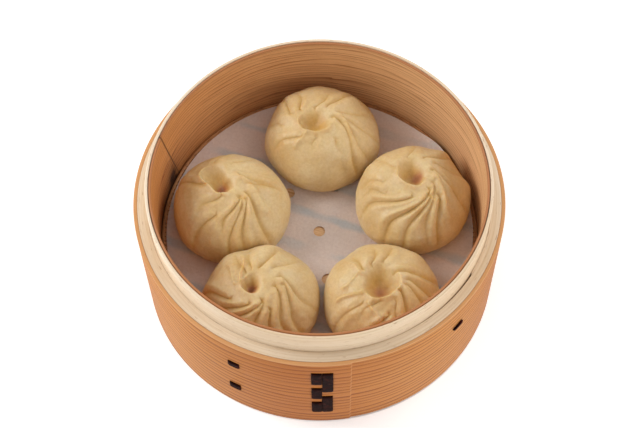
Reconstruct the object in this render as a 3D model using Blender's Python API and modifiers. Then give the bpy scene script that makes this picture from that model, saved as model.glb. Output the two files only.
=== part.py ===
"""A one-tier bamboo steamer basket with five xiaolongbao soup dumplings in it.

Metres, +Z up.  The origin is the centre of the basket's foot, on the table.  The laced side faces -Y.
Every piece is its own closed object: two bent cedar sheets, two bent bamboo hoops, the floor ring,
the slats, the perforated paper, the bark stitches and the dumplings.
"""

from math import asin, atan2, cos, exp, log, pi, radians, sin, sqrt

import bmesh
import bpy
from mathutils import Vector

MM = 0.001
FIT = 0.3                       # clear gap between pieces that touch, in mm

# Driving sizes of the basket, in mm
OUTER_RADIUS = 75.0             # outside of the cedar wall: a 15 cm steamer
TOP_HEIGHT = 68.0               # top of the collar
LEDGE_HEIGHT = 56.4             # the ledge that a lid or the next tier sits on
LIFT = TOP_HEIGHT - LEDGE_HEIGHT + 0.9   # the inner hoops sit this much higher than the outer ones
OUTER_SHEET = 1.5               # thickness of the outer cedar sheet
LEDGE_HOOP = 3.7                # thickness of the bamboo hoop behind it
COLLAR_HOOP = 1.2               # thickness of the bamboo hoop that stands up as the collar
INNER_SHEET = 1.0               # thickness of the cedar lining
RING_STEPS = 64

# Floor, in mm
FLOOR_TOP = 28.4
FLOOR_RING_DEPTH = 8.4
FLOOR_RING_WIDTH = 6.0          # the part of the ring that is as high as the slats
SHELF_WIDTH = 3.4               # the lower step that carries the slats' ends
SLAT_THICK = 3.4
SLAT_WIDTH = 11.8
SLAT_PITCH = 16.2
SLAT_COUNT = 8
SLAT_TURN = radians(-20.5)      # the slats' direction, from +X
SLAT_FIRST = -51.75             # the first slat's place across the floor
SLAT_END_POINTS = 4

# Paper, in mm
PAPER_RADIUS = 64.4
PAPER_THICK = 0.3
PAPER_HOLE_RADIUS = 2.45
PAPER_HOLE_RING = 22.8
PAPER_HOLE_CENTRE = (-0.2, -2.0)
PAPER_HOLE_COUNT = 7
PAPER_HOLE_TURN = radians(72.5)

# Bark stitches: bearing and height of the middle, width and height, lean; mm and degrees
STITCH_THICK = 0.8
STITCHES = {
    "stitch_left_upper": (-117.1, 40.2, 4.4, 3.7, 0),
    "stitch_left_lower": (-117.6, 18.2, 4.4, 4.3, 0),
    "stitch_tall_left": (-91.5, 43.8, 3.8, 10.5, 0),
    "stitch_tall_right": (-88.2, 40.0, 3.9, 18.0, 0),
    "stitch_middle": (-91.5, 29.4, 3.8, 10.3, 0),
    "stitch_low_left": (-91.5, 15.4, 3.8, 9.9, 0),
    "stitch_low_right": (-88.3, 18.4, 3.9, 15.8, 0),
    "stitch_torn": (-44.2, 42.5, 1.4, 5.4, -76),
}

# Dumplings, in mm.  All of them are squat balls with a flat foot, wrung into folds round a mouth.
DOUGH_BASE = FLOOR_TOP + FIT + PAPER_THICK + FIT
DOUGH_TOP = 55.0
DOUGH_WAIST = 36.5              # height of the widest part
FOOT_DRAW = 0.15                # how far the foot draws in under the waist
FOLD_WIDTH = 2.0                # half-width of a fold's valley
LIP_RISE = 0.7                  # the mouth's lip stands this much proud
LIP_WIDTH = 1.8
CONTACT_SOFTNESS = 0.7          # how gently a flank flattens against its neighbour
DOUGH_COLUMNS = 48
DOUGH_ROWS = 13

# Each dumpling: place of its axis, radius, the mouth's offset from the axis, the mouth's radius and
# depth, an optional wide side of the mouth (bearing, extra radius) and its folds.  A fold starts at the
# first bearing and distance from the mouth, swings round as it runs out, and ends at the second ones:
# (bearing in, bearing out, distance in, distance out, depth).
DUMPLINGS = {
    "dumpling_far": dict(
        at=(1.6, 38.8), radius=24.6, mouth_at=(-3.0, -1.9), mouth=6.2, depth=5.4, wide=(175, 1.5),
        folds=[(15, -53, 7.7, 23.8, 1.4), (-5, -35, 12.0, 22.0, 0.8), (8, -11, 11.5, 22.5, 0.9),
               (26, 16, 10.5, 18.0, 0.8), (58, 50, 9.5, 18.0, 1.5), (92, 72, 7.2, 12.0, 1.5),
               (138, 120, 9.5, 14.5, 1.5), (158, 137, 12.4, 22.0, 1.0), (-130, -154, 10.0, 19.0, 1.0),
               (-92, -101, 8.8, 12.0, 0.7), (-50, -58, 11.5, 14.5, 0.8), (180, 172, 16.0, 21.0, 0.7)]),
    "dumpling_left": dict(
        at=(-36.5, 4.6), radius=24.5, mouth_at=(-3.1, 2.1), mouth=4.7, depth=6.0, wide=(134, 9.0),
        folds=[(-44, -95, 9.1, 15.7, 1.5), (-39, -90, 9.5, 22.5, 1.5), (-37, -75, 11.0, 22.0, 1.5),
               (-22, -48, 10.2, 22.0, 1.5), (31, 8, 8.3, 17.0, 0.8), (3, 8, 10.5, 17.0, 0.9),
               (-96, -139, 6.0, 13.0, 1.0), (-105, -129, 13.0, 23.0, 1.2), (178, 160, 7.5, 22.0, 1.1),
               (75, 60, 12.0, 18.0, 0.6), (110, 95, 14.5, 20.0, 0.6)]),
    "dumpling_right": dict(
        at=(38.9, 7.3), radius=23.9, mouth_at=(-0.7, 3.5), mouth=5.8, depth=6.2, wide=(105, 4.5),
        folds=[(-95, -158, 10.0, 21.0, 1.4), (-150, -174, 13.5, 19.0, 0.7), (-172, -189, 12.5, 20.0, 0.7),
               (-46, -122, 9.5, 21.0, 1.6), (-55, -102, 11.5, 22.0, 1.5), (-24, -78, 9.2, 20.0, 1.1),
               (-40, -66, 13.5, 23.3, 1.8), (16, -20, 9.0, 21.0, 1.1), (35, 15, 12.0, 21.0, 0.7),
               (60, 42, 11.0, 18.5, 1.3), (100, 85, 10.0, 16.0, 0.7), (150, 140, 9.0, 19.0, 0.6)]),
    "dumpling_near_left": dict(
        at=(-23.4, -37.8), radius=23.3, mouth_at=(-3.9, -1.8), mouth=3.9, depth=4.6, wide=(80, 1.5),
        folds=[(-5, -60, 9.0, 19.0, 1.5), (0, -47, 11.5, 21.0, 1.3), (20, -18, 11.0, 19.5, 1.2),
               (-62, -128, 8.0, 18.5, 1.5), (-100, -149, 8.5, 18.5, 1.4), (-62, -95, 9.0, 17.5, 1.6),
               (-60, -76, 12.5, 19.0, 1.5), (-150, -180, 11.0, 22.0, 1.3), (93, 102, 7.5, 13.5, 1.3),
               (114, 122, 6.5, 14.5, 1.2), (71, 66, 8.5, 16.0, 1.7), (45, 39, 11.5, 17.0, 1.0)]),
    "dumpling_near_right": dict(
        at=(24.6, -37.7), radius=23.7, mouth_at=(-1.2, -1.1), mouth=7.4, depth=7.4, wide=(80, 3.0),
        folds=[(37, 8, 8.0, 22.0, 1.6), (5, -13, 11.0, 21.0, 1.2), (-8, -28, 10.5, 20.0, 1.2),
               (-30, -55, 9.0, 18.0, 1.9), (-58, -73, 10.5, 17.0, 0.9), (-80, -103, 14.0, 20.0, 1.4),
               (137, 131, 9.8, 14.0, 1.5), (112, 98, 9.3, 13.5, 1.5), (82, 74, 10.3, 16.0, 1.2),
               (-95, -122, 8.8, 14.0, 0.8), (-130, -144, 12.0, 23.5, 0.8), (-150, -165, 9.0, 17.0, 0.7)]),
}

# Finishes: colour (linear), roughness, metallic
FINISHES = {
    "cedar": ((0.56, 0.24, 0.10), 0.55, 0.0),
    "bamboo": ((0.78, 0.58, 0.36), 0.45, 0.0),
    "slat": ((0.58, 0.28, 0.11), 0.5, 0.0),
    "paper": ((0.56, 0.43, 0.37), 0.7, 0.0),
    "bark": ((0.06, 0.025, 0.012), 0.6, 0.0),
    "dough": ((0.68, 0.49, 0.24), 0.4, 0.0),
}


def clear_scene():
    for thing in list(bpy.data.objects):
        bpy.data.objects.remove(thing, do_unlink=True)


def new_collection(name):
    group = bpy.data.collections.new(name)
    bpy.context.scene.collection.children.link(group)
    return group


def make_finish(name):
    colour, roughness, metallic = FINISHES[name]
    finish = bpy.data.materials.new(name)
    finish.use_nodes = True
    shader = finish.node_tree.nodes["Principled BSDF"]
    shader.inputs["Base Color"].default_value = (*colour, 1.0)
    shader.inputs["Roughness"].default_value = roughness
    shader.inputs["Metallic"].default_value = metallic
    return finish


def add_object(name, mesh, group, finish=None):
    thing = bpy.data.objects.new(name, mesh)
    group.objects.link(thing)
    if finish is not None:
        mesh.materials.append(finish)
    return thing


def add_mesh(name, bm, group, finish=None):
    mesh = bpy.data.meshes.new(name)
    bm.to_mesh(mesh)
    bm.free()
    return add_object(name, mesh, group, finish)


# --- the bent hoops -----------------------------------------------------------------------------

def add_hoop(name, outline, group, finish):
    """A hoop: its section, outer side first and running down, turned round Z."""
    bm = bmesh.new()
    points = [bm.verts.new((r * MM, 0, z * MM)) for r, z in outline]
    for here, after in zip(points, points[1:] + points[:1]):
        bm.edges.new((here, after))
    hoop = add_mesh(name, bm, group, finish)
    turn = hoop.modifiers.new("turn", "SCREW")
    turn.axis = "Z"
    turn.angle = 2 * pi
    turn.steps = turn.render_steps = RING_STEPS
    turn.use_merge_vertices = True
    turn.merge_threshold = 0.00001
    return hoop


def band(outer, thick, low, high):
    return [(outer, high), (outer, low), (outer - thick, low), (outer - thick, high)]


def add_basket_walls(group, cedar, bamboo):
    ledge_outer = OUTER_RADIUS - OUTER_SHEET - FIT
    collar_outer = ledge_outer - LEDGE_HOOP - FIT
    lining_outer = collar_outer - COLLAR_HOOP - FIT
    add_hoop("outer_wall", band(OUTER_RADIUS, OUTER_SHEET, 0.0, LEDGE_HEIGHT - 0.2), group, cedar)
    add_hoop("ledge_hoop", band(ledge_outer, LEDGE_HOOP, 0.0, LEDGE_HEIGHT), group, bamboo)
    add_hoop("collar_hoop", band(collar_outer, COLLAR_HOOP, LIFT, TOP_HEIGHT), group, bamboo)
    add_hoop("lining", band(lining_outer, INNER_SHEET, LIFT, TOP_HEIGHT - 0.2), group, cedar)
    return lining_outer - INNER_SHEET


def add_floor_ring(group, finish, lining_inner):
    """The ring under the floor's edge, with a step inside it for the slats."""
    outer = lining_inner - FIT
    step = outer - FLOOR_RING_WIDTH
    inner = step - SHELF_WIDTH
    low = FLOOR_TOP - FLOOR_RING_DEPTH
    shelf = FLOOR_TOP - SLAT_THICK - FIT
    outline = [(outer, FLOOR_TOP), (outer, low), (inner, low), (inner, shelf), (step, shelf),
               (step, FLOOR_TOP)]
    add_hoop("floor_ring", outline, group, finish)
    return step


# --- the floor ----------------------------------------------------------------------------------

def add_plate(name, outline, low, high, group, finish):
    """A flat piece: an outline of (x, y) in mm, counter-clockwise, between two heights."""
    bm = bmesh.new()
    face = bm.faces.new([bm.verts.new((x * MM, y * MM, low * MM)) for x, y in outline])
    top = bmesh.ops.extrude_face_region(bm, geom=[face])["geom"]
    lifted = [v for v in top if isinstance(v, bmesh.types.BMVert)]
    bmesh.ops.translate(bm, verts=lifted, vec=(0, 0, (high - low) * MM))
    bmesh.ops.recalc_face_normals(bm, faces=bm.faces)
    return add_mesh(name, bm, group, finish)


def add_slats(group, finish, step_radius):
    """Bamboo slats across the floor, their ends cut round to lie on the ring's step."""
    reach = step_radius - FIT
    for index in range(SLAT_COUNT):
        middle = SLAT_FIRST + index * SLAT_PITCH
        sides = [max(-reach, min(reach, middle + half)) for half in (-SLAT_WIDTH / 2, SLAT_WIDTH / 2)]
        across = [sides[0] + (sides[1] - sides[0]) * i / SLAT_END_POINTS for i in range(SLAT_END_POINTS + 1)]
        outline = [(sqrt(max(reach**2 - y**2, 0.0)), y) for y in across]
        outline += [(-x, y) for x, y in reversed(outline)]
        turned = [(x * cos(SLAT_TURN) - y * sin(SLAT_TURN), x * sin(SLAT_TURN) + y * cos(SLAT_TURN))
                  for x, y in outline]
        add_plate(f"slat_{index + 1}", turned, FLOOR_TOP - SLAT_THICK, FLOOR_TOP, group, finish)


def paper_holes():
    cx, cy = PAPER_HOLE_CENTRE
    yield cx, cy
    for index in range(PAPER_HOLE_COUNT):
        angle = PAPER_HOLE_TURN + 2 * pi * index / PAPER_HOLE_COUNT
        yield cx + PAPER_HOLE_RING * cos(angle), cy + PAPER_HOLE_RING * sin(angle)


def add_disc(name, radius, at, low, high, steps, group, finish=None):
    bm = bmesh.new()
    bmesh.ops.create_cone(bm, cap_ends=True, segments=steps, radius1=radius * MM, radius2=radius * MM,
                          depth=(high - low) * MM)
    middle = Vector((at[0] * MM, at[1] * MM, (high + low) / 2 * MM))
    bmesh.ops.translate(bm, verts=bm.verts, vec=middle)
    return add_mesh(name, bm, group, finish)


def add_paper(group, cutters, finish):
    """The round sheet of steaming paper, with a hole in the middle and a ring of holes about it."""
    low = FLOOR_TOP + FIT
    paper = add_disc("paper_liner", PAPER_RADIUS, (0, 0), low, low + PAPER_THICK, RING_STEPS, group, finish)
    for index, place in enumerate(paper_holes()):
        cutter = add_disc(f"paper_hole_{index}", PAPER_HOLE_RADIUS, place, low - 1, low + 1, 12, cutters)
        cutter.hide_render = True
        cutter.display_type = "WIRE"
        cut = paper.modifiers.new(f"hole_{index}", "BOOLEAN")
        cut.operation = "DIFFERENCE"
        cut.solver = "EXACT"
        cut.object = cutter
    return paper


# --- the bark stitches --------------------------------------------------------------------------

def add_stitch(name, bearing, height, width, tall, lean, group, finish):
    """A short strip of bark that hugs the outer wall: a box bent to the wall's curve."""
    bm = bmesh.new()
    bmesh.ops.create_cube(bm, size=1.0)
    edges = [e for e in bm.edges if abs(e.verts[0].co.x - e.verts[1].co.x) > 0.5]
    bmesh.ops.subdivide_edges(bm, edges=edges, cuts=2, use_grid_fill=True)
    skin = OUTER_RADIUS + FIT
    for v in bm.verts:
        across, up = v.co.x * width, v.co.z * tall
        turned = across * cos(radians(lean)) - up * sin(radians(lean))
        risen = across * sin(radians(lean)) + up * cos(radians(lean))
        angle = radians(bearing) + turned / OUTER_RADIUS
        radius = skin + (STITCH_THICK if v.co.y < 0 else 0.0)
        v.co = Vector((radius * cos(angle), radius * sin(angle), height + risen)) * MM
    bmesh.ops.recalc_face_normals(bm, faces=bm.faces)
    return add_mesh(name, bm, group, finish)


# --- the dumplings ------------------------------------------------------------------------------

def meridian(t, radius):
    """Distance from the axis and height along a dumpling's side; t runs from the mouth to the foot."""
    waist = 0.72
    if t <= waist:
        swing = pi / 2 * (t / waist) ** 1.25
        return radius * sin(swing), DOUGH_WAIST + (DOUGH_TOP - DOUGH_WAIST) * cos(swing)
    fall = (t - waist) / (1 - waist)
    return radius * (1 - FOOT_DRAW * fall**2.2), DOUGH_WAIST - (DOUGH_WAIST - DOUGH_BASE) * fall


def angle_between(a, b):
    return (a - b + pi) % (2 * pi) - pi


def fold_valleys(reach, bearing, folds):
    """How deep the folds bite at a point of the dumpling."""
    bite = 0.0
    for start, end, near, far, depth in folds:
        run = (reach - near) / (far - near)
        held = min(max(run, 0.0), 1.0)
        middle = radians(end + (start - end) * (1 - held) ** 2)
        aside = angle_between(bearing, middle) * reach / FOLD_WIDTH
        past = max(-run, run - 1, 0.0) * (far - near) / FOLD_WIDTH
        bite += depth * exp(-aside**2 - past**2)
    return bite


def mouth_shape(reach, bearing, bun):
    """Height added by the mouth: a raised lip round a hollow that is wider on one side."""
    side, extra = bun["wide"]
    spread = angle_between(bearing, radians(side)) / 0.75
    mouth = bun["mouth"] + extra * exp(-spread**2)
    lip = LIP_RISE * exp(-(((reach - mouth) / LIP_WIDTH) ** 2))
    if reach >= mouth:
        return lip
    inward = 1 - reach / mouth
    return lip - bun["depth"] * inward * inward * (3 - 2 * inward)


def soft_limit(value, limit):
    """The value itself well below the limit, and just under the limit far beyond it."""
    gap = (limit - value) / CONTACT_SOFTNESS
    if gap > 30:
        return value
    return limit - CONTACT_SOFTNESS * log(1 + exp(gap))


def flatten_against(point, centre, bun, others, lining_inner):
    """Dough gives way to its neighbours and to the basket's wall."""
    for other in others:
        away = Vector(other["at"]) - centre
        share = bun["radius"] / (bun["radius"] + other["radius"])
        direction = away.normalized()
        along = (point - centre).dot(direction)
        kept = soft_limit(along, away.length * share - FIT / 2)
        point = point + direction * (kept - along)
    kept = soft_limit(point.length, lining_inner - 2 * FIT)
    return point * (kept / point.length)


def add_dumpling(name, bun, others, lining_inner, group, finish):
    bm = bmesh.new()
    bmesh.ops.create_uvsphere(bm, u_segments=DOUGH_COLUMNS, v_segments=DOUGH_ROWS, radius=1.0)
    last_row = (DOUGH_ROWS - 1) / DOUGH_ROWS
    centre = Vector(bun["at"])
    radius = bun["radius"]
    squat = DOUGH_TOP - DOUGH_WAIST
    for v in bm.verts:
        t = (0.5 * pi - asin(max(-1.0, min(1.0, v.co.z)))) / pi / last_row
        bearing = atan2(v.co.y, v.co.x)
        if t > 1.01:
            v.co = Vector((centre.x, centre.y, DOUGH_BASE)) * MM
            continue
        reach, height = meridian(min(t, 1.0), radius)
        above = height > DOUGH_WAIST
        slope = Vector((reach / radius**2, (height - DOUGH_WAIST) / squat**2 if above else 0.0)).normalized()
        bite = fold_valleys(reach, bearing, bun["folds"]) if above else 0.0
        reach_cut = reach - slope.x * bite
        if above:
            height += mouth_shape(reach, bearing, bun) - slope.y * bite
        shift = 1 - (reach / radius) ** 1.5 if above else 0.0
        point = centre + Vector(bun["mouth_at"]) * shift
        point += Vector((cos(bearing), sin(bearing))) * reach_cut
        point = flatten_against(point, centre, bun, others, lining_inner)
        v.co = Vector((point.x, point.y, max(height, DOUGH_BASE))) * MM
    return add_mesh(name, bm, group, finish)


# --- the whole ----------------------------------------------------------------------------------

def shade(thing):
    thing.data.shade_smooth()
    thing.data.set_sharp_from_angle(angle=radians(40))


def main():
    clear_scene()
    group = new_collection("soup_dumplings_in_steamer")
    cutters = new_collection("cutters")
    finish = {name: make_finish(name) for name in FINISHES}
    lining_inner = add_basket_walls(group, finish["cedar"], finish["bamboo"])
    step_radius = add_floor_ring(group, finish["slat"], lining_inner)
    add_slats(group, finish["slat"], step_radius)
    add_paper(group, cutters, finish["paper"])
    for name, sizes in STITCHES.items():
        add_stitch(name, *sizes, group, finish["bark"])
    for name, bun in DUMPLINGS.items():
        others = [other for other in DUMPLINGS.values() if other is not bun]
        add_dumpling(name, bun, others, lining_inner, group, finish["dough"])
    for thing in group.objects:
        shade(thing)


main()
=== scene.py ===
# %% [markdown]
# # Soup dumplings in their steamer
# This is a one-tier bamboo steamer with five xiaolongbao in it: cedar and bamboo strips bent into hoops,
# a slatted floor, a sheet of perforated paper, and wrung dough.  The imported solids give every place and
# size, so the lesson starts by loading them and reading their boxes.  All lengths below are in metres
# once multiplied by MM.

from math import cos, pi, radians, sin

import bmesh
import bpy
import numpy as np
from mathutils import Matrix, Vector


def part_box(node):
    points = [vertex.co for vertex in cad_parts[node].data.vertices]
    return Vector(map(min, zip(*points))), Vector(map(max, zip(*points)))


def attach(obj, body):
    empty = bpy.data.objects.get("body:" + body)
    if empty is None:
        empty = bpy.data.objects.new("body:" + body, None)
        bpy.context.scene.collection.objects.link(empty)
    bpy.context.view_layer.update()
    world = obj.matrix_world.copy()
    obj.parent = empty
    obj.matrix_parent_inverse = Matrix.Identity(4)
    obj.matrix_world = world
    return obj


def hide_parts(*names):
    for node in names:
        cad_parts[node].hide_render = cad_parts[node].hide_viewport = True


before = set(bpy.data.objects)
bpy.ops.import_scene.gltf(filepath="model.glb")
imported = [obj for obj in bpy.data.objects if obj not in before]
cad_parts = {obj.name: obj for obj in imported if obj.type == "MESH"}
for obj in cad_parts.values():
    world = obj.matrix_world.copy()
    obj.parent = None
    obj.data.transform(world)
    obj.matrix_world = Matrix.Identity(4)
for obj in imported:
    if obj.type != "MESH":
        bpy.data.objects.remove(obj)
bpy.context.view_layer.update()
MM = 0.001
BODY = "root"

# %% [markdown]
# A material or a Geometry Nodes tree is a list of nodes and the links between them.  One small function
# is enough for both: it adds a node, applies its settings, and fills or links its inputs.  Sums are so
# common that the name of a Math operation will do as the kind of node, and the nodes used most have short
# names in one table.  "relief" tilts the surface as a height of 0 to 1 over some metres would.  Colours
# are written as the sRGB hex values that a paint chart gives, and one function turns them to the linear
# values that the renderer works in.

# %% Helpers for colours and nodes
MIX_INPUTS, MIX_OUTPUT = (0, 6, 7), 2
SHORT_NAMES = {
    "mix": ("ShaderNodeMix", {"data_type": "RGBA"}, MIX_INPUTS, MIX_OUTPUT),
    "tint": ("ShaderNodeMix", {"data_type": "RGBA", "blend_type": "MULTIPLY"}, MIX_INPUTS, MIX_OUTPUT),
    "relief": ("ShaderNodeBump", {}, ("Height", "Distance"), 0),
    "ramp": ("ShaderNodeValToRGB", {}, ("Fac",), 0),
    "noise": ("ShaderNodeTexNoise", {}, (), 0),
    "vector": ("ShaderNodeCombineXYZ", {}, (0, 1, 2), 0),
    "split": ("ShaderNodeSeparateXYZ", {}, (0,), None),
    "place": ("ShaderNodeTexCoord", {}, (), 3),
}


def hex_colour(text):
    """sRGB hex, such as "#D8A060", to linear RGBA."""
    channels = [int(text[i:i + 2], 16) / 255 for i in (1, 3, 5)]
    linear = [c / 12.92 if c <= 0.04045 else ((c + 0.055) / 1.055) ** 2.4 for c in channels]
    return (*linear, 1.0)


def feed(tree, node, inputs):
    """Fill inputs by name or number with plain values, hex colours, other nodes' outputs or lists of them."""
    for key, given in inputs.items():
        for value in given if isinstance(given, list) else [given]:
            if isinstance(value, bpy.types.NodeSocket):
                tree.links.new(value, node.inputs[key])
            else:
                node.inputs[key].default_value = hex_colour(value) if isinstance(value, str) else value


def add(tree, kind, *values, out=0, stops=(), **settings):
    """Add a node and give one of its outputs, or all of them if out is None.  The kind is a node's type, a
    Math operation or a short name.  The values go to the inputs in order, unless one dict names them.  The
    stops of a colour ramp are (position, hex colour)."""
    kind, fixed, order, out = SHORT_NAMES.get(kind, (kind, {}, range(len(values)), out))
    if "Node" not in kind:
        kind, fixed = "ShaderNodeMath", {"operation": kind}
    node = tree.nodes.new(kind)
    for key, value in {**fixed, **settings}.items():
        setattr(node, key, value)
    for _ in stops[2:]:
        node.color_ramp.elements.new(0.5)
    for place, (position, colour) in enumerate(stops):
        node.color_ramp.elements[place].position = position
        node.color_ramp.elements[place].color = hex_colour(colour)
    named = bool(values) and isinstance(values[0], dict)
    feed(tree, node, values[0] if named else dict(zip(order, values)))
    return node.outputs if out is None else node.outputs[out]


def new_material(name):
    material = bpy.data.materials.new(name)
    material.use_nodes = True
    tree = material.node_tree
    return material, tree, tree.nodes["Principled BSDF"]


print("short names of nodes:", ", ".join(SHORT_NAMES))

# %% [markdown]
# The camera looks down at about sixty degrees, as someone at the table would, through a lens of about
# 77 mm on a 36 mm sensor.  It leans by less than a degree.

# %% Camera
EYE = (0.0002, -0.2811, 0.5327)
LOOK_DOWN = 60.28
LEAN = -0.74
lens = bpy.data.cameras.new("camera")
lens.lens = 77.06
lens.sensor_width = 36.0
camera = bpy.data.objects.new("camera", lens)
turn = Matrix.Rotation(radians(90 - LOOK_DOWN), 4, "X") @ Matrix.Rotation(radians(LEAN), 4, "Z")
camera.matrix_world = Matrix.Translation(EYE) @ turn
bpy.context.scene.collection.objects.link(camera)
bpy.context.scene.camera = camera
print("camera at", EYE)

# %% [markdown]
# The light is soft studio light: a softbox over the left wall, a little behind, gives the shapes their
# shade, a weaker one high on the right fills their other side, and one low on the right in front opens up
# the wall.  A pale surround fills the rest.  The floor is plain white.  It glows a little, as a lit table
# does, but not under the basket, where no light gets in.

# %% Light and floor
LIGHTS_AIM = Vector((0, 0, 30 * MM))
SURROUND_STRENGTH = 0.52
FLOOR_REACH = 3.0
FLOOR_DROP = 0.5 * MM
FLOOR_GLOW = 0.36


def softbox(name, place, size, power):
    lamp = bpy.data.lights.new(name, "AREA")
    lamp.size = size
    lamp.energy = power
    holder = bpy.data.objects.new(name, lamp)
    bpy.context.scene.collection.objects.link(holder)
    holder.location = place
    holder.rotation_euler = (LIGHTS_AIM - Vector(place)).to_track_quat("-Z", "Y").to_euler()
    print(name, "at", place, "with", power, "W")


softbox("key_softbox", (-0.66, 0.16, 0.49), 0.38, 3.9)
softbox("front_softbox", (0.62, -0.50, 0.34), 0.42, 1.4)
softbox("side_softbox", (0.60, 0.30, 0.62), 0.42, 2.3)
surround = bpy.data.worlds.new("surround")
surround.use_nodes = True
backdrop = surround.node_tree.nodes["Background"]
feed(surround.node_tree, backdrop, {"Color": "#FFFFFF", "Strength": SURROUND_STRENGTH})
bpy.context.scene.world = surround
bpy.context.scene.view_settings.view_transform = "Standard"

bm = bmesh.new()
bmesh.ops.create_grid(bm, x_segments=1, y_segments=1, size=FLOOR_REACH)
floor_mesh = bpy.data.meshes.new("floor")
bm.to_mesh(floor_mesh)
bm.free()
floor = bpy.data.objects.new("floor", floor_mesh)
floor.location = (0, 0, -FLOOR_DROP)
bpy.context.scene.collection.objects.link(floor)
floor_white, tree, shader = new_material("floor_white")
place = add(tree, "place")
from_axis = add(tree, "ShaderNodeVectorMath", place, out=1, operation="LENGTH")
outside = add(tree, "GREATER_THAN", from_axis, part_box("outer_wall")[1].x)
feed(tree, shader, {
    "Base Color": "#FFFFFF", "Roughness": 1.0, "Specular IOR Level": 0.0, "Emission Color": "#FFFFFF",
    "Emission Strength": add(tree, "MULTIPLY", outside, FLOOR_GLOW)})
floor.data.materials.append(floor_white)

# %% [markdown]
# ## The woods
# Wood that is bent round a hoop keeps its grain along the strip.  On the walls the lines lie level; on an
# edge that faces up they run round the ring.  One coordinate serves both: it changes slowly with x and y,
# and fast with height plus distance from the axis.
#
# Cedar (the two wide sheets) is softwood sawn so that the growth rings show as lines: each ring starts
# pale and darkens, then stops sharply.  The rings are 3.3 mm apart on the outside, where they run nearly
# straight, and 2 mm on the lining, where they wander more.  It is planed, so it is satin: IOR 1.5 and
# roughness near 0.5.  A tint by bearing paints shade: deepest at the front of the outer sheet and every
# quarter turn from it, and on the left of the lining, where the walls turn from the softboxes.  Water has
# stained the foot of the lining's lap, painted shade darkens the wall's foot beside it, and a dark line
# painted along the lap stands for the shadow of its edge.  The cut end of the outer sheet shows as a pale
# line.

# %% Grain and cedar
OUTER_LAP = radians(-81.2)
TOP_EDGE_DEPTH = 0.7 * MM
TOP_EDGE_SOFT = 0.25 * MM
SEAM_BEARING = radians(159.3)
SEAM_LEAN = radians(0.185) / MM
SEAM_MIDDLE = 53 * MM
STAIN_HEIGHT = 29 * MM
SHADE_AND_STAIN_FOOT = 27 * MM


def grain_place(tree, straight=None):
    """x, y, z and the distance across a grain that runs round the hoop, or straight along a bearing."""
    x, y, z = add(tree, "split", add(tree, "place"))
    if straight is None:
        out = add(tree, "SQRT", add(tree, "ADD", add(tree, "MULTIPLY", x, x), add(tree, "MULTIPLY", y, y)))
    else:
        out = add(tree, "SUBTRACT", add(tree, "MULTIPLY", y, cos(straight)),
                  add(tree, "MULTIPLY", x, sin(straight)))
    return x, y, z, add(tree, "ADD", z, out)


def streaks(tree, place, along, across, detail, roughness=0.5):
    """Noise drawn out along the grain, with this many changes per millimetre along and across it."""
    x, y, _, cross = place
    squeezed = add(tree, "vector", add(tree, "MULTIPLY", x, along / MM),
                   add(tree, "MULTIPLY", y, along / MM), add(tree, "MULTIPLY", cross, across / MM))
    return add(tree, "noise", {
        "Vector": squeezed, "Scale": 1.0, "Detail": detail, "Roughness": roughness})


def bell(tree, value, middle, width):
    """1 at the middle, falling smoothly to 0 a few widths away."""
    aside = add(tree, "DIVIDE", add(tree, "SUBTRACT", value, middle), width)
    return add(tree, "EXPONENT", add(tree, "MULTIPLY", add(tree, "MULTIPLY", aside, aside), -1.0))


def lining_shadow_and_stain(tree, colour, bearing, height, fade):
    """A dark line painted along the lining's lap stands for the shadow of its edge; water has stained the
    wood at its foot, and painted shade darkens the wall's foot there too.
    """
    lean = add(tree, "MULTIPLY", SEAM_LEAN, add(tree, "SUBTRACT", height, SEAM_MIDDLE))
    from_line = add(tree, "SUBTRACT", bearing, add(tree, "ADD", SEAM_BEARING, lean))
    # Painted shadow: a dark line along the lap's edge.
    line = add(tree, "MULTIPLY", bell(tree, from_line, 0.0, 0.006), 0.8)
    turned = add(tree, "FLOORED_MODULO", bearing, 2 * pi)
    stain_and_shade = add(tree, "MULTIPLY", bell(tree, turned, SEAM_BEARING, 0.06),
                bell(tree, height, STAIN_HEIGHT, 10 * MM))
    # Painted shade low at the wall's foot beside the lap, added to the real water stain.
    low = add(tree, "MULTIPLY", bell(tree, turned, SEAM_BEARING + 0.2, 0.25),
              bell(tree, height, SHADE_AND_STAIN_FOOT, 6 * MM))
    stain_and_shade = add(tree, "MULTIPLY", add(tree, "ADD", stain_and_shade, add(tree, "MULTIPLY", low, 0.7)),
                add(tree, "MULTIPLY", fade, 2.2), use_clamp=True)
    return add(tree, "mix", add(tree, "MAXIMUM", line, stain_and_shade), colour, "#3E2416")


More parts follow.
